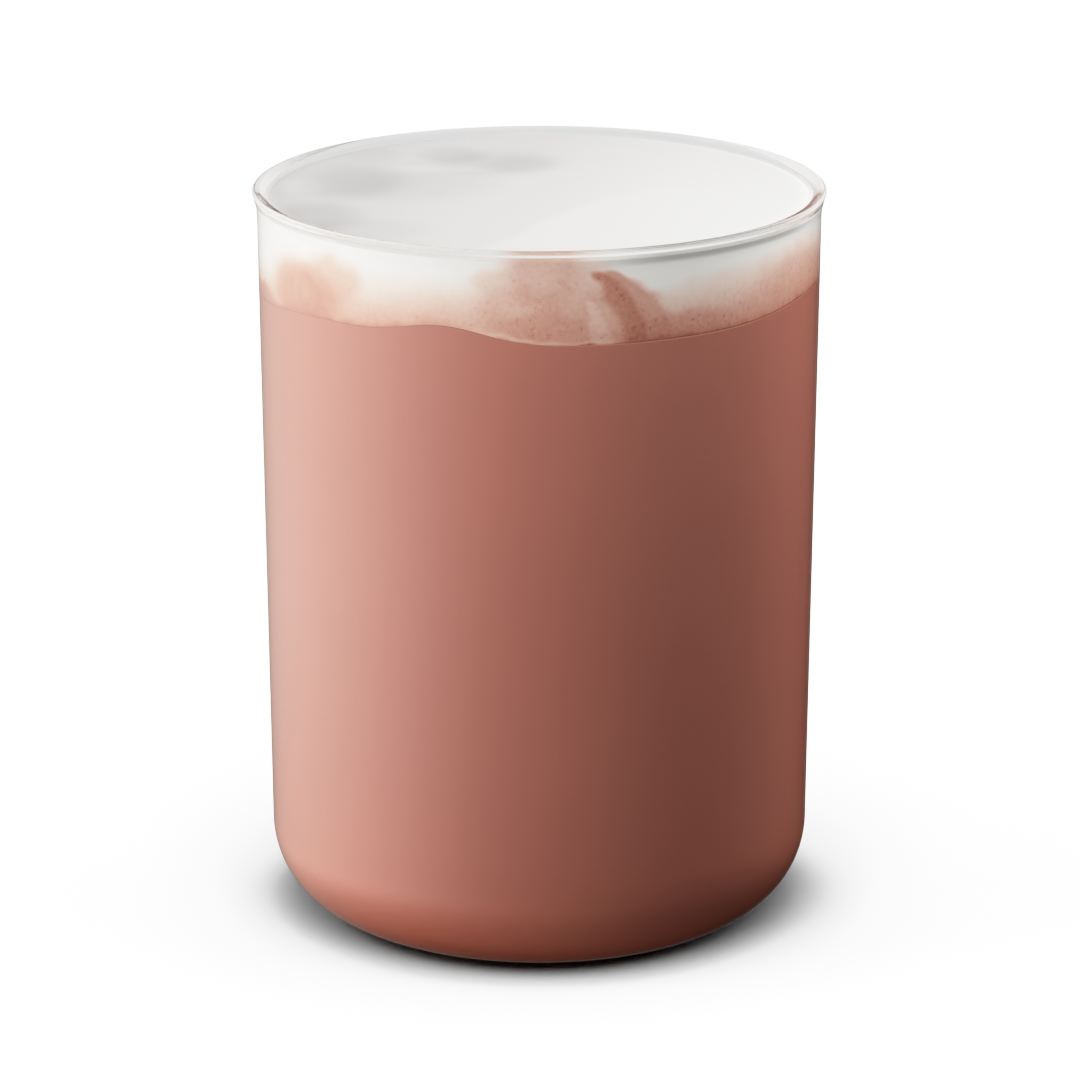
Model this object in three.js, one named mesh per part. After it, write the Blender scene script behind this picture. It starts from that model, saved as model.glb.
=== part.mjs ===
// Hot chocolate with milk foam, brimful in a clear round tumbler.
// Millimetres, +Z up, origin at the middle of the glass's underside.
// Azimuth 0 is the front (-Y) and grows towards +X.
import * as THREE from "three";

// Driving dimensions of the glass
const GLASS_HEIGHT = 105;
const RIM_RADIUS = 40;
const NECK_RADIUS = 39.36;
const BASE_WALL_RADIUS = 38.35;
const BASE_CORNER_RADIUS = 12.9;
const WALL_THICKNESS = 1.8;
const BASE_THICKNESS = 3;
const FLARE_HEIGHT = 3.6;
const FLARE_POWER = 1.7;
const LIP_DEPTH = 0.9;
const LIP_ROUND = 0.45;

// Driving dimensions of the drink and its foam
const DRINK_LEVEL = 91.7;
const FOAM_LEVEL = 104.4;
const FOAM_EDGE_WIDTH = 2.6;
const FOAM_EDGE_DROP = 0.8;
const FIT_GAP = 0.3;

// How finely the round forms are divided
const SEGMENTS = 72;
const CORNER_STEPS = 6;
const LIP_STEPS = 6;
const FLARE_STEPS = 4;
const SURFACE_RINGS = 7;
const FOAM_EDGE_STEPS = 3;

// The drink swells up into the foam, or sinks, where the two were poured together:
// azimuth in degrees, height in mm and half width in degrees of each swell.
const DRINK_SWELLS = [
  { azimuth: -20, height: 2.3, width: 13 },
  { azimuth: -46, height: 0.6, width: 16 },
  { azimuth: -82, height: -1, width: 16 },
  { azimuth: 74, height: 1.2, width: 20 },
  { azimuth: 118, height: 0.9, width: 24 },
  { azimuth: -142, height: 1.2, width: 30 },
];

// The foam's top has shallow hollows and a low rise: centre, radius and height in mm of each.
const FOAM_RELIEF = [
  { x: -8, y: 22, radius: 9, height: -0.6 },
  { x: -26, y: 8, radius: 8, height: -0.4 },
  { x: 17, y: -8, radius: 16, height: 0.35 },
];

const smoothStep = (t) => t * t * (3 - 2 * t);

// Outer radius of the glass's straight, slightly tapered wall
function wallRadius(z) {
  const t = (z - BASE_CORNER_RADIUS) / (GLASS_HEIGHT - FLARE_HEIGHT - BASE_CORNER_RADIUS);
  return BASE_WALL_RADIUS + (NECK_RADIUS - BASE_WALL_RADIUS) * t;
}

// Inner radius of the wall, and of the drink that fills it at a given gap
const innerRadius = (z, gap) => wallRadius(z) - WALL_THICKNESS - gap;

// A quarter turn from straight down to straight out, for a rounded base corner
function cornerArc(radiusAtWall, bottom, cornerRadius) {
  const points = [];
  for (let i = 0; i <= CORNER_STEPS; i += 1) {
    const angle = (Math.PI / 2) * (i / CORNER_STEPS);
    points.push(new THREE.Vector2(
      radiusAtWall - cornerRadius * (1 - Math.sin(angle)),
      bottom + cornerRadius * (1 - Math.cos(angle)),
    ));
  }
  return points;
}

// Turns a profile of radius and height about the vertical axis
function turn(profile) {
  const geometry = new THREE.LatheGeometry(profile, SEGMENTS);
  geometry.rotateX(Math.PI / 2);
  return geometry;
}

// How far the drink's top stands above its level; the swells fade to nothing in the middle
function drinkSwell(x, y) {
  const radius = Math.hypot(x, y);
  const azimuth = THREE.MathUtils.radToDeg(Math.atan2(x, -y));
  let height = 0;
  for (const swell of DRINK_SWELLS) {
    const turned = THREE.MathUtils.euclideanModulo(azimuth - swell.azimuth + 180, 360) - 180;
    height += swell.height * Math.exp(-((turned / swell.width) ** 2));
  }
  const reach = Math.min(1, radius / innerRadius(DRINK_LEVEL, 0));
  return height * smoothStep(reach);
}

// How far the foam's top stands above its level; the relief fades out at the wall
function foamRelief(x, y) {
  const reach = Math.min(1, Math.hypot(x, y) / innerRadius(FOAM_LEVEL, 0));
  let height = 0;
  for (const dent of FOAM_RELIEF) {
    const distance = Math.hypot(x - dent.x, y - dent.y) / dent.radius;
    height += dent.height * Math.exp(-distance * distance);
  }
  return height * (1 - reach ** 6);
}

// Lifts the points of a turned form whose height lies between two levels
function lift(geometry, lowest, highest, rise) {
  const position = geometry.attributes.position;
  for (let i = 0; i < position.count; i += 1) {
    const z = position.getZ(i);
    if (z > lowest && z < highest) {
      position.setZ(i, z + rise(position.getX(i), position.getY(i)));
    }
  }
  return geometry;
}

// Radii from the axis outwards for a level surface that is to be lifted
function surfaceRadii(edgeRadius) {
  const radii = [];
  for (let i = 0; i < SURFACE_RINGS; i += 1) {
    radii.push(edgeRadius * (i / SURFACE_RINGS));
  }
  return radii;
}

// The tumbler: flat underside, round corner, tapered wall, flared lip.
// The lip's outer edge is rounded tightly and its inner edge slopes down gently.
function glassGeometry() {
  const profile = [new THREE.Vector2(0, 0)];
  profile.push(...cornerArc(BASE_WALL_RADIUS, 0, BASE_CORNER_RADIUS));
  const flareBottom = GLASS_HEIGHT - FLARE_HEIGHT;
  for (let i = 0; i <= FLARE_STEPS; i += 1) {
    const t = i / FLARE_STEPS;
    profile.push(new THREE.Vector2(
      NECK_RADIUS + (RIM_RADIUS - NECK_RADIUS) * t ** FLARE_POWER,
      flareBottom + (FLARE_HEIGHT - LIP_ROUND) * t,
    ));
  }
  const lipInner = NECK_RADIUS - WALL_THICKNESS + (RIM_RADIUS - NECK_RADIUS) / 2;
  const lipPeak = RIM_RADIUS - LIP_ROUND;
  for (let i = 1; i <= LIP_STEPS; i += 1) {
    const angle = Math.PI * (i / LIP_STEPS);
    const outward = angle < Math.PI / 2;
    const reach = outward ? LIP_ROUND : lipPeak - lipInner;
    const depth = outward ? LIP_ROUND : LIP_DEPTH;
    profile.push(new THREE.Vector2(
      lipPeak + reach * Math.cos(angle),
      GLASS_HEIGHT - depth * (1 - Math.sin(angle)),
    ));
  }
  profile.push(new THREE.Vector2(innerRadius(flareBottom, 0), flareBottom));
  const innerCorner = BASE_CORNER_RADIUS - WALL_THICKNESS;
  const innerWall = innerRadius(BASE_THICKNESS + innerCorner, 0);
  profile.push(...cornerArc(innerWall, BASE_THICKNESS, innerCorner).reverse());
  profile.push(new THREE.Vector2(0, BASE_THICKNESS));
  return turn(profile);
}

// The chocolate drink fills the glass up to its wavy meeting line with the foam
function chocolateGeometry() {
  const bottom = BASE_THICKNESS + FIT_GAP;
  const corner = BASE_CORNER_RADIUS - WALL_THICKNESS - FIT_GAP;
  const edge = innerRadius(DRINK_LEVEL, FIT_GAP);
  const profile = [new THREE.Vector2(0, bottom)];
  profile.push(...cornerArc(innerRadius(bottom + corner, FIT_GAP), bottom, corner));
  profile.push(new THREE.Vector2(edge, DRINK_LEVEL));
  for (const radius of surfaceRadii(edge).reverse()) {
    profile.push(new THREE.Vector2(radius, DRINK_LEVEL));
  }
  return lift(turn(profile), DRINK_LEVEL - FIT_GAP, DRINK_LEVEL + FIT_GAP, drinkSwell);
}

// The milk foam sits on the drink and stands just under the lip, rounding down to the wall
function foamGeometry() {
  const bottom = DRINK_LEVEL + FIT_GAP;
  const lowerEdge = innerRadius(bottom, FIT_GAP);
  const upperEdge = innerRadius(FOAM_LEVEL, FIT_GAP);
  const profile = surfaceRadii(lowerEdge).map((radius) => new THREE.Vector2(radius, bottom));
  profile.push(new THREE.Vector2(lowerEdge, bottom));
  for (let i = 0; i < FOAM_EDGE_STEPS; i += 1) {
    const angle = (Math.PI / 2) * (i / FOAM_EDGE_STEPS);
    profile.push(new THREE.Vector2(
      upperEdge - FOAM_EDGE_WIDTH * (1 - Math.cos(angle)),
      FOAM_LEVEL - FOAM_EDGE_DROP * (1 - Math.sin(angle)),
    ));
  }
  const plateau = upperEdge - FOAM_EDGE_WIDTH;
  profile.push(new THREE.Vector2(plateau, FOAM_LEVEL));
  for (const radius of surfaceRadii(plateau).reverse()) {
    profile.push(new THREE.Vector2(radius, FOAM_LEVEL));
  }
  const foam = lift(turn(profile), bottom - FIT_GAP, bottom + FIT_GAP, drinkSwell);
  return lift(foam, FOAM_LEVEL - FOAM_EDGE_DROP / 2, FOAM_LEVEL + FIT_GAP, foamRelief);
}

function piece(name, geometry, look) {
  const mesh = new THREE.Mesh(geometry, new THREE.MeshStandardMaterial(look));
  mesh.name = name;
  return mesh;
}

const group = new THREE.Group();
group.add(piece("glass", glassGeometry(), {
  color: 0xeef1f0, roughness: 0.03, metalness: 0, transparent: true, opacity: 0.3,
}));
group.add(piece("chocolate", chocolateGeometry(), {
  color: 0x9b6455, roughness: 0.35, metalness: 0,
}));
group.add(piece("milk_foam", foamGeometry(), {
  color: 0xefedea, roughness: 0.7, metalness: 0,
}));

export default group;
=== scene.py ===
import math

import bpy
import numpy as np
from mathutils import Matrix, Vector, noise


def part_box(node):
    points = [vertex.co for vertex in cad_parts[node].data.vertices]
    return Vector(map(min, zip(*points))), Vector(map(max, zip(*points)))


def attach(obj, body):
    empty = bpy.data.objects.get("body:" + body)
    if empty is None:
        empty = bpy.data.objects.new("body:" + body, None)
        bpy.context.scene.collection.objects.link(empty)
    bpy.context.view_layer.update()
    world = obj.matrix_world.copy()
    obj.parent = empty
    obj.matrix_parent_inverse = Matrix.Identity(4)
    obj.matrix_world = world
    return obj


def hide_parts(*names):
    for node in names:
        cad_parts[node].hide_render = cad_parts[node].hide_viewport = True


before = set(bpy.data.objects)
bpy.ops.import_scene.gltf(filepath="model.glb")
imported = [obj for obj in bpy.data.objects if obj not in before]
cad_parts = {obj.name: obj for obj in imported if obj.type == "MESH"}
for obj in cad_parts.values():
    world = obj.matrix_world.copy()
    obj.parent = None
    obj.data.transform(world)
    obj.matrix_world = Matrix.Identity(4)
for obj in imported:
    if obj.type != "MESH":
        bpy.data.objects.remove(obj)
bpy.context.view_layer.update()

MM = 0.001

# Glass, from the frame's box and the part's driving dimensions
GLASS_LOW, GLASS_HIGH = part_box("glass")
GLASS_HEIGHT = GLASS_HIGH.z
RIM_RADIUS = (GLASS_HIGH.x - GLASS_LOW.x) / 2
RIM_OVER_NECK = 0.64 * MM
RIM_OVER_BASE = 1.65 * MM
NECK_RADIUS = RIM_RADIUS - RIM_OVER_NECK
BASE_WALL_RADIUS = RIM_RADIUS - RIM_OVER_BASE
BASE_CORNER_RADIUS = 12.9 * MM
WALL_THICKNESS = 1.8 * MM
BASE_THICKNESS = 3 * MM
FLARE_HEIGHT = 3.6 * MM
FLARE_BOTTOM = GLASS_HEIGHT - FLARE_HEIGHT
FLARE_POWER = 1.7
LIP_DEPTH = 0.9 * MM
LIP_ROUND = 0.45 * MM

# Drink and foam
DRINK_LEVEL = 91.7 * MM
FOAM_LEVEL = 104.4 * MM
FOAM_EDGE_WIDTH = 2.6 * MM
FOAM_EDGE_DROP = 0.8 * MM
REACH_INTO_WALL = 0.15 * MM

# Azimuth in degrees, height in metres and half width in degrees of each swell of the drink
DRINK_SWELLS = [
    (-20, 2.3 * MM, 13),
    (-46, 0.6 * MM, 16),
    (-82, -1.0 * MM, 16),
    (74, 1.2 * MM, 20),
    (118, 0.9 * MM, 24),
    (-142, 1.2 * MM, 30),
]

# Centre x and y, radius and height in metres of each hollow and rise of the foam's top
FOAM_RELIEF = [
    (-8 * MM, 22 * MM, 9 * MM, -0.6 * MM),
    (-26 * MM, 8 * MM, 8 * MM, -0.4 * MM),
    (17 * MM, -8 * MM, 16 * MM, 0.35 * MM),
]
RELIEF_POWER = 6

# How finely the round forms are divided
SEGMENTS = 640
FLAT_STEPS = 6
CORNER_STEPS = 24
WALL_STEPS = 12
FLARE_STEPS = 16
LIP_STEPS = 24
SIDE_ROWS = 56
TOP_RINGS = 60
MEETING_RINGS = 15
EDGE_STEPS = 8

# The last rows up to the line, and the first ring inwards of it, lie close to keep that edge crisp
LAST_SHARES = [0.99, 0.997, 1]
EDGE_RING = 0.3 * MM

AZIMUTH = np.linspace(0, 2 * math.pi, SEGMENTS, endpoint=False)


def smooth_step(t):
    t = np.clip(t, 0, 1)
    return t * t * (3 - 2 * t)


def turn_between(degrees, azimuth):
    """How far one azimuth lies from another, in degrees from -180 to 180."""
    return (degrees - azimuth + 180) % 360 - 180


def wall_radius(z):
    """Radius of the glass's straight, slightly tapered wall outside, without the flare."""
    taper = np.minimum((z - BASE_CORNER_RADIUS) / (FLARE_BOTTOM - BASE_CORNER_RADIUS), 1)
    return BASE_WALL_RADIUS + (NECK_RADIUS - BASE_WALL_RADIUS) * taper


def outer_radius(z):
    """Radius of the glass's outside above its rounded corner."""
    flare = np.clip((z - FLARE_BOTTOM) / (FLARE_HEIGHT - LIP_ROUND), 0, 1)
    return wall_radius(z) + RIM_OVER_NECK * flare**FLARE_POWER


def inner_radius(z):
    """Radius of the glass's inside above its rounded corner; the inside flares half as much."""
    flare = np.clip((z - FLARE_BOTTOM) / (FLARE_HEIGHT - LIP_DEPTH), 0, 1)
    return wall_radius(z) - WALL_THICKNESS + RIM_OVER_NECK / 2 * flare**FLARE_POWER


def corner_arc(radius, bottom, corner_radius):
    """Points of a quarter turn from flat underside to upright wall, as (radius, height)."""
    angle = np.linspace(0, math.pi / 2, CORNER_STEPS)
    radii = radius - corner_radius * (1 - np.sin(angle))
    return list(zip(radii, bottom + corner_radius * (1 - np.cos(angle))))


def flat_disc(radius, z):
    """Points of a level disc between its middle and its edge, as (radius, height)."""
    return [(r, z) for r in np.linspace(0, radius, FLAT_STEPS)[1:-1]]


def turned(name, rows):
    """A closed smooth mesh of rings about the Z axis, from rows of (radius, height).

    Each value of a row is one number or one for each azimuth. The first and last row are points.
    """
    radii = np.array([np.broadcast_to(radius, SEGMENTS) for radius, _ in rows])
    heights = np.array([np.broadcast_to(height, SEGMENTS) for _, height in rows])
    rings = np.stack([radii * np.sin(AZIMUTH), -radii * np.cos(AZIMUTH), heights], -1)[1:-1]
    count = len(rings)
    ends = [[0, 0, heights[0, 0]], [0, 0, heights[-1, 0]]]
    points = np.concatenate([rings.reshape(-1, 3), ends])
    here = np.arange(SEGMENTS)
    after = (here + 1) % SEGMENTS
    faces = []
    for i in range(count - 1):
        a, b = i * SEGMENTS, (i + 1) * SEGMENTS
        faces += np.stack([a + here, a + after, b + after, b + here], -1).tolist()
    low, high = count * SEGMENTS, count * SEGMENTS + 1
    last = (count - 1) * SEGMENTS
    faces += [(low, int(j), int(i)) for i, j in zip(here, after)]
    faces += [(high, int(last + i), int(last + j)) for i, j in zip(here, after)]
    mesh = bpy.data.meshes.new(name)
    mesh.from_pydata(points.tolist(), [], faces)
    mesh.polygons.foreach_set("use_smooth", [True] * len(mesh.polygons))
    mesh.update()
    piece = bpy.data.objects.new(name, mesh)
    bpy.context.collection.objects.link(piece)
    return piece


def drink_top(radius):
    """Height of the drink's top at each azimuth, on a ring of the given radius."""
    rise = np.zeros(SEGMENTS)
    for azimuth, height, width in DRINK_SWELLS:
        rise += height * np.exp(-((turn_between(np.degrees(AZIMUTH), azimuth) / width) ** 2))
    return DRINK_LEVEL + rise * smooth_step(radius / inner_radius(DRINK_LEVEL))


def foam_top(radius):
    """Height of the foam's top at each azimuth, on a ring of the given radius."""
    full = inner_radius(FOAM_LEVEL)
    x, y = radius * np.sin(AZIMUTH), -radius * np.cos(AZIMUTH)
    rise = np.zeros(SEGMENTS)
    for cx, cy, size, height in FOAM_RELIEF:
        rise += height * np.exp(-((x - cx) ** 2 + (y - cy) ** 2) / size**2)
    rise *= 1 - min(radius / full, 1) ** RELIEF_POWER
    across = np.clip((radius - full + FOAM_EDGE_WIDTH) / FOAM_EDGE_WIDTH, 0, 1)
    return FOAM_LEVEL + rise - FOAM_EDGE_DROP * (1 - np.sqrt(1 - across**2))


def make_glass():
    flare_top = GLASS_HEIGHT - LIP_DEPTH
    rows = [(0, 0)] + flat_disc(BASE_WALL_RADIUS - BASE_CORNER_RADIUS, 0)
    rows += corner_arc(BASE_WALL_RADIUS, 0, BASE_CORNER_RADIUS)
    for z in np.linspace(BASE_CORNER_RADIUS, FLARE_BOTTOM, WALL_STEPS)[1:]:
        rows.append((outer_radius(z), z))
    for z in np.linspace(FLARE_BOTTOM, GLASS_HEIGHT - LIP_ROUND, FLARE_STEPS)[1:]:
        rows.append((outer_radius(z), z))
    peak = RIM_RADIUS - LIP_ROUND
    slope = peak - inner_radius(flare_top)
    for angle in np.linspace(0, math.pi, LIP_STEPS)[1:]:
        reach, depth = (LIP_ROUND, LIP_ROUND) if angle < math.pi / 2 else (slope, LIP_DEPTH)
        rows.append((peak + reach * math.cos(angle), GLASS_HEIGHT - depth * (1 - math.sin(angle))))
    for z in np.linspace(flare_top, FLARE_BOTTOM, FLARE_STEPS)[1:]:
        rows.append((inner_radius(z), z))
    inner_corner = BASE_CORNER_RADIUS - WALL_THICKNESS
    corner_top = BASE_THICKNESS + inner_corner
    for z in np.linspace(FLARE_BOTTOM, corner_top, WALL_STEPS)[1:-1]:
        rows.append((inner_radius(z), z))
    inside = corner_arc(inner_radius(corner_top), BASE_THICKNESS, inner_corner)
    rows += inside[::-1] + flat_disc(inside[0][0], BASE_THICKNESS)[::-1] + [(0, BASE_THICKNESS)]
    return turned("tumbler", rows)


def make_drink():
    bottom = BASE_THICKNESS - REACH_INTO_WALL
    corner = BASE_CORNER_RADIUS - WALL_THICKNESS + REACH_INTO_WALL
    arc = corner_arc(inner_radius(bottom + corner) + REACH_INTO_WALL, bottom, corner)
    rows = [(0, bottom)] + flat_disc(arc[0][0], bottom) + arc
    edge = inner_radius(DRINK_LEVEL) + REACH_INTO_WALL
    line = drink_top(edge)
    for share in [*np.linspace(0, LAST_SHARES[0], WALL_STEPS)[1:-1], *LAST_SHARES]:
        z = bottom + corner + (line - bottom - corner) * share
        rows.append((inner_radius(z) + REACH_INTO_WALL, z))
    for radius in [edge - EDGE_RING, *np.linspace(edge, 0, MEETING_RINGS)[1:]]:
        rows.append((radius, drink_top(radius)))
    return turned("chocolate_drink", rows)


def make_foam():
    edge = inner_radius(DRINK_LEVEL) + REACH_INTO_WALL
    line = drink_top(edge)
    rows = []
    for radius in [*np.linspace(0, edge, MEETING_RINGS)[:-1], edge - EDGE_RING]:
        rows.append((radius, drink_top(radius)))
    shoulder = FOAM_LEVEL - FOAM_EDGE_DROP
    for share in np.linspace(0, 1, SIDE_ROWS):
        z = line + (shoulder - line) * share
        rows.append((inner_radius(z) + REACH_INTO_WALL, z))
    full = inner_radius(FOAM_LEVEL)
    for angle in np.linspace(0, math.pi / 2, EDGE_STEPS):
        radius = full - FOAM_EDGE_WIDTH * (1 - math.cos(angle))
        rows.append((radius, foam_top(radius)))
    for radius in np.linspace(full - FOAM_EDGE_WIDTH, 0, TOP_RINGS)[1:]:
        rows.append((radius, foam_top(radius)))
    return turned("foam_cap", rows)


# Cocoa in the foam where it lies against the glass, from 0, white foam, to 1, drink.
# Azimuth, and height in mm at which the haze above the drink fades out there
HAZE_TOP = [
    (-180, 100), (-165, 98), (-145, 96), (-125, 99), (-105, 100), (-90, 98), (-80, 97), (-70, 99),
    (-60, 101), (-45, 102), (-30, 101.5), (-18, 101.8), (-9, 101.5), (0, 98), (20, 99), (32, 101.3),
    (45, 102), (60, 103), (75, 103), (90, 101), (110, 98), (135, 96.5), (160, 99), (180, 100),
]
HAZE_AMOUNT = 0.78
HAZE_POWER = 0.9

# Clouds: azimuth, height in mm, half width in degrees, half height in mm, amount
COCOA_CLOUDS = [
    (-57, 94.6, 14, 5.2, 0.8),
    (-47, 97.8, 10, 4.0, 0.56),
    (1, 101.5, 9, 7, 0.5),
    (-8, 100.2, 7, 2.2, 0.38),
    (-3, 96.3, 13, 4.4, 0.5),
    (8, 97, 9, 7, 0.44),
    (1, 94.3, 11, 2.6, 0.6),
    (12, 95.5, 7, 5.5, 0.5),
    (30, 93, 17, 2.8, 0.6),
    (66, 95.2, 22, 5.5, 0.47),
    (-78, 91.5, 12, 2.0, 0.8),
    (118, 94.8, 17, 3.6, 0.62),
    (158, 99, 13, 8, 0.48),
    (-152, 94, 15, 3.2, 0.56),
    (-112, 95.5, 14, 5, 0.52),
]
CLOUD_REACH = 1.45
CLOUD_SOFTNESS = 0.95

# Streaks on the glass: (azimuth, height in mm) from low to high, half width in degrees, amount
COCOA_STREAKS = [
    ([(20, 92), (19.8, 93.2), (19, 95), (17.6, 96.8), (16, 98.4), (14, 100.2), (10, 102.4)], 3.0, 0.82),
    ([(25.5, 91.5), (24.5, 93.5), (22.5, 96), (20, 98.4), (16.5, 100.6), (12, 102.4)], 3.8, 0.64),
    ([(141, 92), (142, 95), (145, 98), (149, 100.5), (153, 102.4)], 2.6, 0.76),
    ([(-134, 92), (-131, 95.5), (-129, 99), (-130, 101.5)], 2.2, 0.74),
]

# Pale streaks beside them, with how much cocoa they take away
PALE_STREAKS = [
    ([(12.8, 91.5), (12, 94), (11, 96), (10, 98.5)], 1.5, 0.17),
    ([(133, 92), (134, 95), (137, 98)], 3, 0.35),
    ([(-140, 92), (-138, 95), (-136, 98)], 3, 0.35),
]
STREAK_REACH = 1.9
STREAK_SOFTNESS = 1.5
STREAK_TAPER = 4.5 * MM
STREAK_TIP = 0.25
STREAK_FADE = 4

# Haze, clouds and streaks blend as a norm of this power
BLEND = 4

# Just above the drink the foam takes its colour, less so in a paler stretch left of the middle
LINE_AMOUNT = 0.84
LINE_FADE = 1.4 * MM
PALE_PART_AZIMUTH = -17
PALE_PART_WIDTH = 16
PALE_PART_LOSS = 0.27
PALE_PART_FADE = 4 * MM

# In the middle a fine pale line runs just above the drink
PALE_LINE_HEIGHT = 0.35 * MM
PALE_LINE_WIDTH = 0.28 * MM
PALE_LINE_LOSS = 0.25
PALE_LINE_AZIMUTH = 2
PALE_LINE_REACH = 1.5
PALE_LINE_SOFTNESS = 14

# Painted shade in patches on the foam's top, as shallow hollows would show; a negative amount paints
# light.
# Centre x and y, half sizes in x and y in mm, amount
PAINTED_FOAM_SHADES = [
    (-12.5, 23.5, 5, 5, 0.1),
    (-7, 18, 9, 9, 0.1),
    (-2.5, 17, 6, 6, 0.07),
    (-26, 5, 7, 11, 0.13),
    (-18, 3, 12, 10, 0.06),
    (-31, -17, 7, 9, 0.14),
    (-24, -25, 9, 7, 0.06),
    (-24, 23, 4, 5, 0.05),
    (-33, 3, 4, 5, -0.05),
    (-14, 14, 8, 2.5, -0.05),
]
SHADE_REACH = 1.35
SHADE_SOFTNESS = 0.85

# A soft edge crosses the top from front to right, as (x, y) in mm; behind it painted shade makes
# the foam greyer, less and less to the right
SOFT_EDGE = [(-40, -38), (-9, -37), (-3, -28), (0, -20), (5, -12), (10, -6), (16, -2), (24, 2), (40, 8)]
SOFT_EDGE_WIDTH = 5 * MM
SOFT_EDGE_PAINTED_SHADE = 0.07
SOFT_EDGE_END = 30 * MM

# Under the lip on the right the foam is darkened by painted shade, down its side and a little way over
# its edge
LIP_SHADE = 0.42
LIP_SHADE_AZIMUTH = 42
LIP_SHADE_WIDTH = 34
LIP_SHADE_SOFTNESS = 20
LIP_SHADE_HEIGHT = 102.6 * MM
LIP_SHADE_DEPTH = 0.8 * MM
LIP_SHADE_RADIUS = 37.4 * MM
LIP_SHADE_RUN_OUT = 0.3 * MM


def painted_top_shade(x, y):
    """How much painted shade darkens the foam's top at a place, in patches and behind the soft edge."""
    painted_shade = np.zeros(len(x))
    for cx, cy, half_x, half_y, amount in PAINTED_FOAM_SHADES:
        away = np.hypot((x - cx * MM) / (half_x * MM), (y - cy * MM) / (half_y * MM))
        painted_shade += amount * smooth_step((SHADE_REACH - away) / SHADE_SOFTNESS)
    edge_x, edge_y = (np.array(values) * MM for values in zip(*SOFT_EDGE))
    behind = smooth_step((y - np.interp(x, edge_x, edge_y)) / SOFT_EDGE_WIDTH + 0.5)
    return painted_shade + SOFT_EDGE_PAINTED_SHADE * behind * smooth_step((SOFT_EDGE_END - x) / SOFT_EDGE_END)


def painted_lip_shade(degrees, radius, z):
    """How much painted shade darkens the foam under the lip on the right."""
    away = abs(turn_between(degrees, LIP_SHADE_AZIMUTH))
    around = smooth_step((LIP_SHADE_WIDTH - away) / LIP_SHADE_SOFTNESS)
    outward = smooth_step((radius - LIP_SHADE_RADIUS) / LIP_SHADE_RUN_OUT)
    upward = smooth_step((z - LIP_SHADE_HEIGHT) / LIP_SHADE_DEPTH + 0.5)
    return LIP_SHADE * around * outward * upward


def streak_share(degrees, z, path, width):
    """1 along a streak, falling to 0 beside it; the streak runs out to a point at its upper end."""
    azimuths, heights = zip(*path)
    heights = np.array(heights) * MM
    left = np.clip((heights[-1] - z) / STREAK_TAPER, 0, 1)
    half_width = width * (STREAK_TIP + (1 - STREAK_TIP) * left)
    away = abs(turn_between(degrees, np.interp(z, heights, azimuths))) / half_width
    return smooth_step((STREAK_REACH - away) / STREAK_SOFTNESS) * smooth_step(left * STREAK_FADE)


def cocoa_share(degrees, z, line):
    """How much cocoa shows in the foam at an azimuth and a height, above the drink's line."""
    azimuths, tops = zip(*HAZE_TOP)
    top = np.interp(turn_between(degrees, 0), azimuths, tops) * MM
    above = np.maximum(z - line, 0)
    pale_part = np.exp(-((turn_between(degrees, PALE_PART_AZIMUTH) / PALE_PART_WIDTH) ** 2))
    kept = 1 - PALE_PART_LOSS * pale_part * np.exp(-above / PALE_PART_FADE)
    shares = [HAZE_AMOUNT * kept * np.clip((top - z) / (top - line), 0, 1) ** HAZE_POWER]
    for azimuth, height, width, half_height, strength in COCOA_CLOUDS:
        upward = (z - height * MM) / (half_height * MM)
        away = np.hypot(turn_between(degrees, azimuth) / width, upward)
        shares.append(strength * smooth_step((CLOUD_REACH - away) / CLOUD_SOFTNESS))
    for path, width, strength in COCOA_STREAKS:
        shares.append(strength * streak_share(degrees, z, path, width))
    shares.append(LINE_AMOUNT * kept * np.exp(-above / LINE_FADE))
    amount = sum(share**BLEND for share in shares) ** (1 / BLEND)
    for path, width, loss in PALE_STREAKS:
        amount *= 1 - loss * streak_share(degrees, z, path, width)
    pale = np.exp(-(((above - PALE_LINE_HEIGHT) / PALE_LINE_WIDTH) ** 2))
    beside = abs(turn_between(degrees, PALE_LINE_AZIMUTH)) / PALE_LINE_SOFTNESS
    return np.minimum(amount * (1 - PALE_LINE_LOSS * pale * smooth_step(PALE_LINE_REACH - beside)), 1)


def add_node(tree, kind, inputs, **settings):
    """A node with its settings made, and each input linked or given a plain value."""
    node = tree.nodes.new(kind)
    for name, value in settings.items():
        setattr(node, name, value)
    for socket, value in inputs.items():
        if isinstance(value, bpy.types.NodeSocket):
            tree.links.new(value, node.inputs[socket])
        else:
            node.inputs[socket].default_value = value
    return node


def spread(tree, source, start, end, low, high):
    """Runs from low to high while the source runs from start to end."""
    ends = {"Value": source, "From Min": start, "From Max": end, "To Min": low, "To Max": high}
    return add_node(tree, "ShaderNodeMapRange", ends).outputs["Result"]


def noise_level(tree, place, scale, detail, low, high, start=0.3, end=0.7):
    """Noise of a given scale, in features per metre, spread from low to high."""
    inputs = {"Vector": place, "Scale": scale, "Detail": detail}
    texture = add_node(tree, "ShaderNodeTexNoise", inputs).outputs["Fac"]
    return spread(tree, texture, start, end, low, high)


def combined(tree, operation, first, second):
    return add_node(tree, "ShaderNodeMath", {0: first, 1: second}, operation=operation).outputs[0]


def times(tree, first, *others):
    for other in others:
        first = combined(tree, "MULTIPLY", first, other)
    return first


def scaled_colour(tree, colour, factor):
    return add_node(tree, "ShaderNodeVectorMath", {0: colour, 3: factor}, operation="SCALE").outputs[0]


def attribute_value(tree, name):
    return add_node(tree, "ShaderNodeAttribute", {}, attribute_name=name).outputs["Fac"]


def place_of(tree):
    return add_node(tree, "ShaderNodeTexCoord", {}).outputs["Object"]


def axes_of(tree, vector):
    return add_node(tree, "ShaderNodeSeparateXYZ", {"Vector": vector}).outputs


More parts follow.
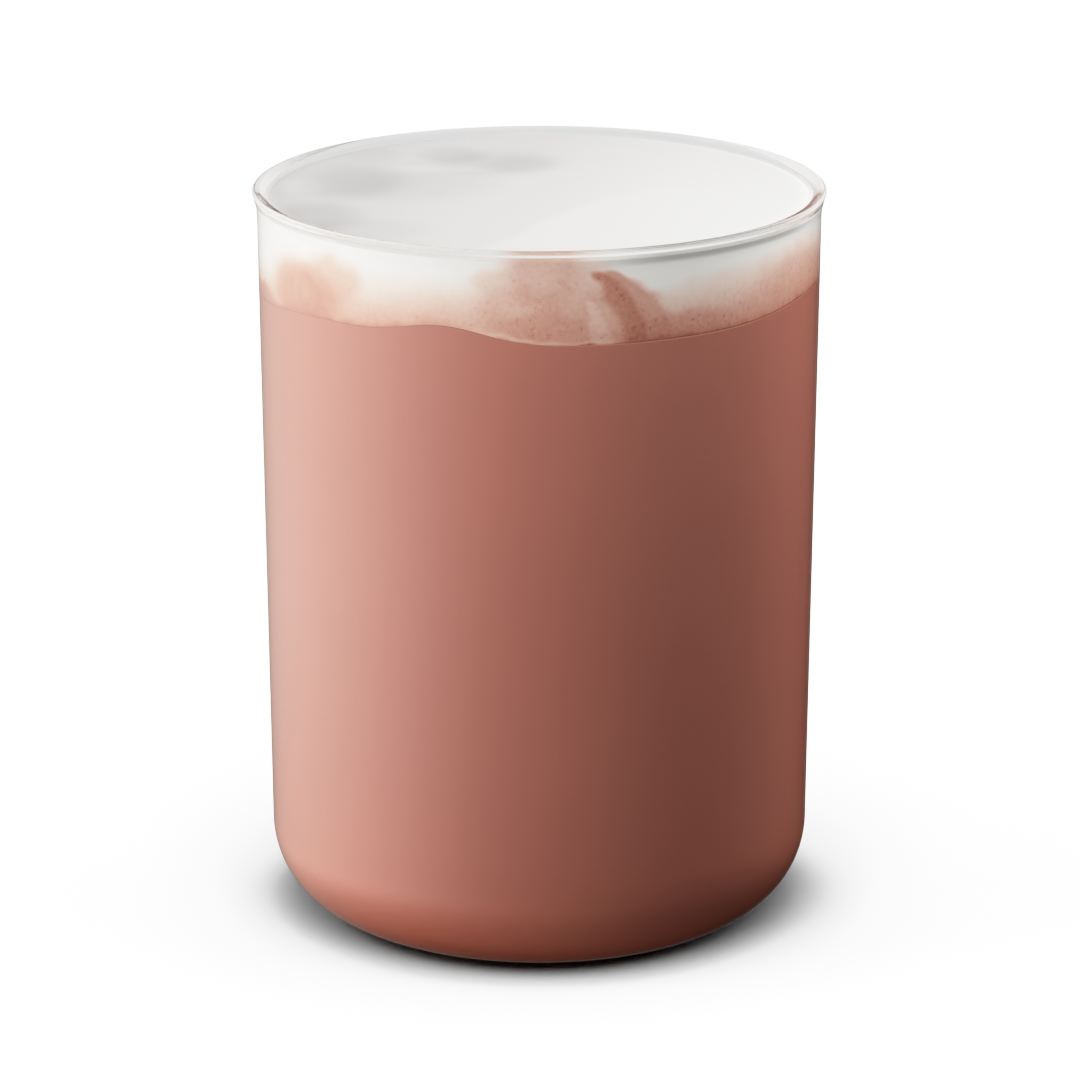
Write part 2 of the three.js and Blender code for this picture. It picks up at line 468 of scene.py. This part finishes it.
def colour_ramp(tree, factor, stops):
    """A colour for each value of factor, from stops of (position, colour)."""
    ramp = add_node(tree, "ShaderNodeValToRGB", {"Fac": factor})
    elements = ramp.color_ramp.elements
    while len(elements) < len(stops):
        elements.new(1)
    for element, (position, colour) in zip(elements, stops):
        element.position = position
        element.color = (*colour, 1)
    return ramp.outputs["Color"]


def new_material(name, look):
    material = bpy.data.materials.new(name)
    material.use_nodes = True
    shader = material.node_tree.nodes["Principled BSDF"]
    for socket, value in look.items():
        shader.inputs[socket].default_value = value
    return material, material.node_tree, shader


# Clear glass, very faintly and unevenly tinted
GLASS_LOOK = {"Transmission Weight": 1, "Roughness": 0, "IOR": 1.5}
GLASS_COLOURS = [(0.0, (0.975, 0.99, 0.985)), (1.0, (1, 1, 1))]

# Noise: features per metre, detail, lowest and highest value
GLASS_UNEVENNESS = (30, 2, 0, 1)


def glass_material():
    material, tree, shader = new_material("clear_glass", GLASS_LOOK)
    unevenness = noise_level(tree, place_of(tree), *GLASS_UNEVENNESS)
    tree.links.new(colour_ramp(tree, unevenness, GLASS_COLOURS), shader.inputs["Base Color"])
    return material


# Drink colour from the bottom to the line with the foam: its own colour, with painted shade darkening
# it towards the bottom, steeply near the foot
DRINK_LOOK = {"Roughness": 0.5, "Specular IOR Level": 0}
DRINK_COLOURS_AND_PAINTED_SHADE = [
    (0.0, (0.100, 0.026, 0.016)),
    (0.012, (0.125, 0.032, 0.020)),
    (0.03, (0.165, 0.046, 0.030)),
    (0.06, (0.205, 0.061, 0.041)),
    (0.09, (0.255, 0.080, 0.055)),
    (0.17, (0.270, 0.088, 0.064)),
    (0.3, (0.280, 0.094, 0.069)),
    (0.5, (0.295, 0.100, 0.074)),
    (0.85, (0.325, 0.116, 0.087)),
    (1.0, (0.340, 0.125, 0.094)),
]
DRINK_SWIRL = (45, 3, 0.975, 1.025)
DRINK_GRAIN = (1400, 2, 0.993, 1.007)


def drink_material():
    material, tree, shader = new_material("chocolate_drink", DRINK_LOOK)
    place = place_of(tree)
    depth = spread(tree, axes_of(tree, place)["Z"], BASE_THICKNESS, DRINK_LEVEL, 0, 1)
    swirl = noise_level(tree, place, *DRINK_SWIRL)
    grain = noise_level(tree, place, *DRINK_GRAIN)
    # The ramp darkens the drink towards the bottom: painted shade
    colour = colour_ramp(tree, depth, DRINK_COLOURS_AND_PAINTED_SHADE)
    tree.links.new(scaled_colour(tree, colour, times(tree, swirl, grain)), shader.inputs["Base Color"])
    return material


# Foam colour from pure milk foam to foam soaked with drink
FOAM_LOOK = {"Roughness": 0.8, "Specular IOR Level": 0.2}
FOAM_COLOURS = [
    (0.0, (0.90, 0.88, 0.86)),
    (0.1, (0.75, 0.73, 0.70)),
    (0.3, (0.72, 0.58, 0.51)),
    (0.6, (0.56, 0.325, 0.255)),
    (0.85, (0.43, 0.185, 0.13)),
    (1.0, (0.32, 0.115, 0.085)),
]
FOAM_GRAIN = (1500, 4, 0.94, 1.06)

# Specks of cocoa are the peaks of a finer noise, whose ends are given last
FOAM_SPECKS = (1900, 2, 1, 1.22, 0.6, 0.75)


def foam_material():
    material, tree, shader = new_material("milk_foam", FOAM_LOOK)
    place = place_of(tree)
    grain = noise_level(tree, place, *FOAM_GRAIN)
    specks = noise_level(tree, place, *FOAM_SPECKS)
    cocoa = times(tree, attribute_value(tree, "cocoa"), grain, specks)
    # Painted shade from the shade attribute darkens the foam's colour
    painted_shade_factor = combined(tree, "SUBTRACT", 1, attribute_value(tree, "painted_shade"))
    colour = scaled_colour(tree, colour_ramp(tree, cocoa, FOAM_COLOURS), painted_shade_factor)
    tree.links.new(colour, shader.inputs["Base Color"])
    return material


# The foam's side keeps at least a small share of cocoa, so it is a little darker than the top,
# and a noise warps the marbling
LEAST_SIDE_SHARE = 0.1
WARP_DEGREES = 1.0
WARP_HEIGHT = 0.5 * MM
WARP_SCALE = 420
WARP_SEED = 5
SIDE_MARGIN = 0.1 * MM


def paint_foam(piece):
    """Gives each point of the foam its share of cocoa, by place on the side, and its painted shade."""
    points = np.empty(len(piece.data.vertices) * 3)
    piece.data.vertices.foreach_get("co", points)
    points = points.reshape(-1, 3)
    x, y, z = points.T
    edge = inner_radius(DRINK_LEVEL) + REACH_INTO_WALL
    radius = np.hypot(x, y)
    on_side = radius > edge - SIDE_MARGIN
    degrees = np.degrees(np.arctan2(x, -y))
    line = np.interp(degrees % 360, np.degrees(AZIMUTH), drink_top(edge), period=360)
    noise.seed_set(WARP_SEED)
    warp = np.array([noise.noise_vector(Vector(p) * WARP_SCALE) for p in points[on_side]])
    turned_to = degrees[on_side] + WARP_DEGREES * warp[:, 0]
    raised_to = z[on_side] + WARP_HEIGHT * warp[:, 1]
    cocoa = np.zeros(len(z))
    cocoa[on_side] = np.maximum(cocoa_share(turned_to, raised_to, line[on_side]), LEAST_SIDE_SHARE)
    # Painted shade: under the lip on the right, and in patches and behind the soft edge on the top
    painted_shade = np.maximum(painted_lip_shade(degrees, radius, z), np.where(on_side, 0, painted_top_shade(x, y)))
    for name, values in (("cocoa", cocoa), ("painted_shade", painted_shade)):
        piece.data.attributes.new(name, "FLOAT", "POINT").data.foreach_set("value", values)


tumbler = make_glass()
drink = make_drink()
foam = make_foam()
paint_foam(foam)
for piece, material, node, slot in (
    (tumbler, glass_material(), "glass", "clear_glass"),
    (drink, drink_material(), "chocolate", "chocolate_drink"),
    (foam, foam_material(), "milk_foam", "foam"),
):
    piece.data.materials.append(material)
    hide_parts(node)
    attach(piece, "root")


def hide_from(piece, *rays):
    """Takes a piece out of the sight of some kinds of ray."""
    for ray in rays:
        setattr(piece, "visible_" + ray, False)


# Lamps reach the drink straight through the glass, and the drink casts no red onto the floor
hide_from(tumbler, "shadow", "diffuse")
hide_from(drink, "diffuse")

# Camera: a long lens 0.7 m in front, looking down a little over the rim
CAMERA_PLACE = Vector((0, -700 * MM, 263.6 * MM))
CAMERA_TARGET = Vector((0.1 * MM, 0, 53.4 * MM))
SENSOR_WIDTH = 36
FOCAL_LENGTH = 171.3
NEAREST_SEEN = 0.01


def aim(thing, way):
    """Points a camera or a lamp along a direction."""
    thing.rotation_euler = way.to_track_quat("-Z", "Y").to_euler()


camera = bpy.data.objects.new("camera", bpy.data.cameras.new("camera"))
bpy.context.collection.objects.link(camera)
camera.location = CAMERA_PLACE
aim(camera, CAMERA_TARGET - CAMERA_PLACE)
camera.data.sensor_width = SENSOR_WIDTH
camera.data.lens = FOCAL_LENGTH
camera.data.clip_start = NEAREST_SEEN
bpy.context.scene.camera = camera

# Floor
FLOOR_HALF = 4
FLOOR_LOOK = {"Base Color": (0.9, 0.9, 0.9, 1), "Roughness": 0.9}
FLOOR_CORNERS = [(-1, -1), (1, -1), (1, 1), (-1, 1)]
mesh = bpy.data.meshes.new("floor")
mesh.from_pydata([(x * FLOOR_HALF, y * FLOOR_HALF, 0) for x, y in FLOOR_CORNERS], [], [(0, 1, 2, 3)])
floor = bpy.data.objects.new("floor", mesh)
bpy.context.collection.objects.link(floor)
floor.data.materials.append(new_material("floor", FLOOR_LOOK)[0])
hide_from(floor, "glossy", "diffuse", "shadow")

# The glass's foot keeps light off the floor where it touches, more so at its sides, and shades
# nothing else
FOOT_CORNER_RADIUS = 10.5 * MM
FOOT_TOP = 25 * MM
FOOT_SPREAD_LEFT = 5.0 * MM
FOOT_SPREAD_RIGHT = 6.5 * MM
FOOT_SPREAD_POWER = 3
sideways = np.sin(AZIMUTH)
foot_spread = np.where(sideways > 0, FOOT_SPREAD_RIGHT, FOOT_SPREAD_LEFT)
foot_spread = foot_spread * abs(sideways) ** FOOT_SPREAD_POWER
foot_rows = [(0, 0)] + corner_arc(BASE_WALL_RADIUS, 0, FOOT_CORNER_RADIUS)
foot_rows += [(BASE_WALL_RADIUS, FOOT_TOP), (0, FOOT_TOP)]
foot_shade = turned("foot_shade", [(r + foot_spread * z / FOOT_TOP, z) for r, z in foot_rows])
hide_from(foot_shade, "camera", "diffuse", "glossy", "transmission")


def group_of(name, *pieces):
    """A collection that says which pieces a lamp lights, or which ones keep its light off."""
    group = bpy.data.collections.new(name)
    for piece in pieces:
        group.objects.link(piece)
    return group


lit_pieces = group_of("lit_pieces", tumbler, drink, foam)
lit_foam = group_of("lit_foam", foam)
lit_drink = group_of("lit_drink", drink)
lit_floor = group_of("lit_floor", floor)
shading_pieces = group_of("shading_pieces", drink, foam)
shading_floor = group_of("shading_floor", drink, foam, foot_shade)


def direction(azimuth, elevation):
    """The way from the object to an azimuth and an elevation in degrees."""
    turn, rise = math.radians(azimuth), math.radians(elevation)
    return Vector((math.sin(turn) * math.cos(rise), -math.cos(turn) * math.cos(rise), math.sin(rise)))


def add_lamp(name, kind, energy, receivers, blockers):
    lamp = bpy.data.objects.new(name, bpy.data.lights.new(name, kind))
    bpy.context.collection.objects.link(lamp)
    lamp.data.energy = energy
    lamp.light_linking.receiver_collection = receivers
    lamp.light_linking.blocker_collection = blockers
    return lamp


# Each lamp on the object: azimuth and elevation, distance and size in metres, power in watts
LAMPS = {
    "left_front": (-60, 8, 0.9, 0.5, 8.6),
    "left": (-100, 8, 0.9, 0.5, 3.1),
    "right": (80, 8, 0.9, 0.5, 1.4),
    "back_right": (130, 12, 0.9, 0.5, 10.6),
    "near_right": (80, 45, 0.22, 0.1, 0.066),
    "near_top_right": (60, 65, 0.2, 0.1, 0.22),
    "low_left": (-60, -25, 0.9, 0.5, 3.3),
    "low_front": (5, -30, 0.9, 0.5, 2.45),
    "foam_right": (50, 8, 0.9, 0.5, 1.5),
    "drink_front": (10, 40, 0.22, 0.1, 0.08),
    "near_foot_left": (-78, -55, 0.13, 0.05, 0.055),
    "near_foot_front": (-54, -60, 0.13, 0.05, 0.02),
}
SPECIAL_LAMPS = {"foam_right": lit_foam, "drink_front": lit_drink}
LAMP_TARGET = Vector((0, 0, 60 * MM))
for name, (azimuth, elevation, distance, size, power) in LAMPS.items():
    lamp = add_lamp(name, "AREA", power, SPECIAL_LAMPS.get(name, lit_pieces), shading_pieces)
    lamp.location = LAMP_TARGET + direction(azimuth, elevation) * distance
    aim(lamp, LAMP_TARGET - lamp.location)
    lamp.data.shape = "SQUARE"
    lamp.data.size = size
    hide_from(lamp, "camera", "glossy", "transmission")

# Light on the floor only: azimuth, elevation and angular size in degrees, strength
FLOOR_SUNS = {
    "floor_high": (0, 90, 28, 2.85),
    "floor_top": (0, 90, 60, 1.62),
    "floor_front": (0, 45, 50, 2.38),
    "floor_left": (-90, 45, 50, 0.58),
    "floor_left_low": (-80, 20, 30, 1.37),
    "floor_right": (90, 45, 50, 0.69),
    "floor_right_low": (80, 20, 30, 0.59),
}
for name, (azimuth, elevation, size, strength) in FLOOR_SUNS.items():
    sun = add_lamp(name, "SUN", strength, lit_floor, shading_floor)
    aim(sun, -direction(azimuth, elevation))
    sun.data.angle = math.radians(size)


def glowing(mesh, strength_of, colour, only_seen_by):
    """Puts a mesh on the stage as a sheet that glows and that one kind of ray alone sees."""
    sheet = bpy.data.objects.new(mesh.name, mesh)
    bpy.context.collection.objects.link(sheet)
    material = bpy.data.materials.new(mesh.name)
    material.use_nodes = True
    material.cycles.emission_sampling = "NONE"
    tree = material.node_tree
    tree.nodes.clear()
    emission = {"Color": (*colour, 1), "Strength": strength_of(tree)}
    glow = add_node(tree, "ShaderNodeEmission", emission).outputs[0]
    add_node(tree, "ShaderNodeOutputMaterial", {"Surface": glow})
    mesh.materials.append(material)
    rays = {"camera", "diffuse", "glossy", "transmission", "shadow"}
    hide_from(sheet, *(rays - {only_seen_by}))


# A soft reflector low on the left, seen only as the milky reflection down the glass's left third
REFLECTOR_RADIUS = 1.2
REFLECTOR_LOW = -2.2
REFLECTOR_HIGH = 0.15
REFLECTOR_LEVELS = 60
REFLECTOR_ENDS = (-200, 40)
REFLECTOR_TURNS = 97
REFLECTOR_AZIMUTH = -90
REFLECTOR_WIDTH = 52
REFLECTOR_STRENGTH = 4.6
REFLECTOR_COLOUR = (1, 0.95, 0.86)

# Its glow at each height in metres
REFLECTOR_GLOW = [
    (-2.2, 0), (-1.4, 0.06), (-1.0, 0.17), (-0.77, 0.34), (-0.55, 0.56), (-0.42, 0.66), (-0.34, 0.85),
]


def make_reflector():
    levels = np.linspace(REFLECTOR_LOW, REFLECTOR_HIGH, REFLECTOR_LEVELS)
    points, faces, glow = [], [], []
    for i, azimuth in enumerate(np.linspace(*REFLECTOR_ENDS, REFLECTOR_TURNS)):
        out = direction(azimuth, 0) * REFLECTOR_RADIUS
        for j, z in enumerate(levels):
            points.append((out.x, out.y, z))
            away = (azimuth - REFLECTOR_AZIMUTH) / REFLECTOR_WIDTH
            glow.append(math.exp(-away * away) * float(np.interp(z, *zip(*REFLECTOR_GLOW))))
            if i and j:
                corner = i * len(levels) + j
                faces.append((corner - len(levels) - 1, corner - 1, corner, corner - len(levels)))
    mesh = bpy.data.meshes.new("reflector")
    mesh.from_pydata(points, [], faces)
    mesh.attributes.new("glow", "FLOAT", "POINT").data.foreach_set("value", glow)

    def strength(tree):
        return times(tree, attribute_value(tree, "glow"), REFLECTOR_STRENGTH)

    glowing(mesh, strength, REFLECTOR_COLOUR, "glossy")


make_reflector()

# What the rim shows of the room: a pale grey card lies round the glass, out of the camera's sight
CARD_INNER = 0.08
CARD_OUTER = 2.5
CARD_HEIGHT = 1 * MM
CARD_STEP = 5
CARD_COLOUR = (1, 1, 1)

# Towards the right, between these values of x, the card grows darker
CARD_FADE = (0.1, 0.3)
CARD_STRENGTHS = (0.85, 0.3)


def make_card():
    circle = [direction(azimuth, 0) for azimuth in range(0, 360, CARD_STEP)]
    points = [(r * way.x, r * way.y, CARD_HEIGHT) for r in (CARD_INNER, CARD_OUTER) for way in circle]
    count = len(circle)
    faces = [(i, (i + 1) % count, count + (i + 1) % count, count + i) for i in range(count)]
    mesh = bpy.data.meshes.new("surround_card")
    mesh.from_pydata(points, [], faces)

    def strength(tree):
        return spread(tree, axes_of(tree, place_of(tree))["X"], *CARD_FADE, *CARD_STRENGTHS)

    glowing(mesh, strength, CARD_COLOUR, "transmission")


make_card()

# The room: white for the camera, and for what the glass shows, levels that change with direction.
# Each fade runs between two values of x, y or z of the direction.
CAMERA_LEVEL = 2
THROUGH_FADE = (0.1, 0.4)
THROUGH_LEVELS = (1.3, 0.15)
HIGH_FADE = (-0.1, 0.15)
LOW_LEVEL = 0.22
LOW_FADE = (-0.02, 0.1)
BEHIND_FADE = (0.1, 0.6)
BELOW_FADE = (-0.6, -0.42)

# A dark screen stands low behind, from the middle to the left
SCREEN_FADE = (0.02, 0.05)
SCREEN_TOP_FADE = (0.15, 0.32)


def make_room():
    world = bpy.data.worlds.new("studio")
    bpy.context.scene.world = world
    world.use_nodes = True
    tree = world.node_tree
    ray = add_node(tree, "ShaderNodeLightPath", {}).outputs
    way = axes_of(tree, add_node(tree, "ShaderNodeTexCoord", {}).outputs["Generated"])
    screen = spread(tree, way["X"], *SCREEN_FADE, 1, 0)
    screen = times(tree, screen, spread(tree, way["Z"], *SCREEN_TOP_FADE, 1, 0))
    high = spread(tree, way["Z"], *HIGH_FADE, 0, 1)
    high = times(tree, high, combined(tree, "SUBTRACT", 1, screen))
    low = spread(tree, way["Z"], *HIGH_FADE, LOW_LEVEL, 0)
    low = times(tree, low, spread(tree, way["X"], *LOW_FADE, 1, 0))
    mirrored = combined(tree, "MAXIMUM", high, low)
    behind = spread(tree, way["Y"], *BEHIND_FADE, 0, 1)
    above = spread(tree, way["Z"], *BELOW_FADE, 0, 1)
    mirrored = times(tree, mirrored, behind, above, ray["Is Glossy Ray"])
    through = spread(tree, way["X"], *THROUGH_FADE, *THROUGH_LEVELS)
    through = times(tree, through, ray["Is Transmission Ray"])
    seen = times(tree, ray["Is Camera Ray"], CAMERA_LEVEL)
    level = combined(tree, "MAXIMUM", combined(tree, "MAXIMUM", seen, through), mirrored)
    background = tree.nodes["Background"]
    background.inputs["Color"].default_value = (1, 1, 1, 1)
    tree.links.new(level, background.inputs["Strength"])


make_room()

# Light may run far along inside the glass wall before it leaves
BOUNCES = 32
cycles = bpy.context.scene.cycles
cycles.max_bounces = BOUNCES
cycles.glossy_bounces = BOUNCES
cycles.transmission_bounces = BOUNCES

# Bright parts run softly into white
TONE_CURVE = [(0.125, 0.25), (0.25, 0.49), (0.375, 0.69), (0.5, 0.82), (0.75, 0.93)]
WHITE_LEVEL = 2
ALL_COLOURS = 3
view = bpy.context.scene.view_settings
view.view_transform = "Standard"
view.use_curve_mapping = True
view.curve_mapping.white_level = (WHITE_LEVEL, WHITE_LEVEL, WHITE_LEVEL)
for place in TONE_CURVE:
    view.curve_mapping.curves[ALL_COLOURS].points.new(*place)
view.curve_mapping.update()
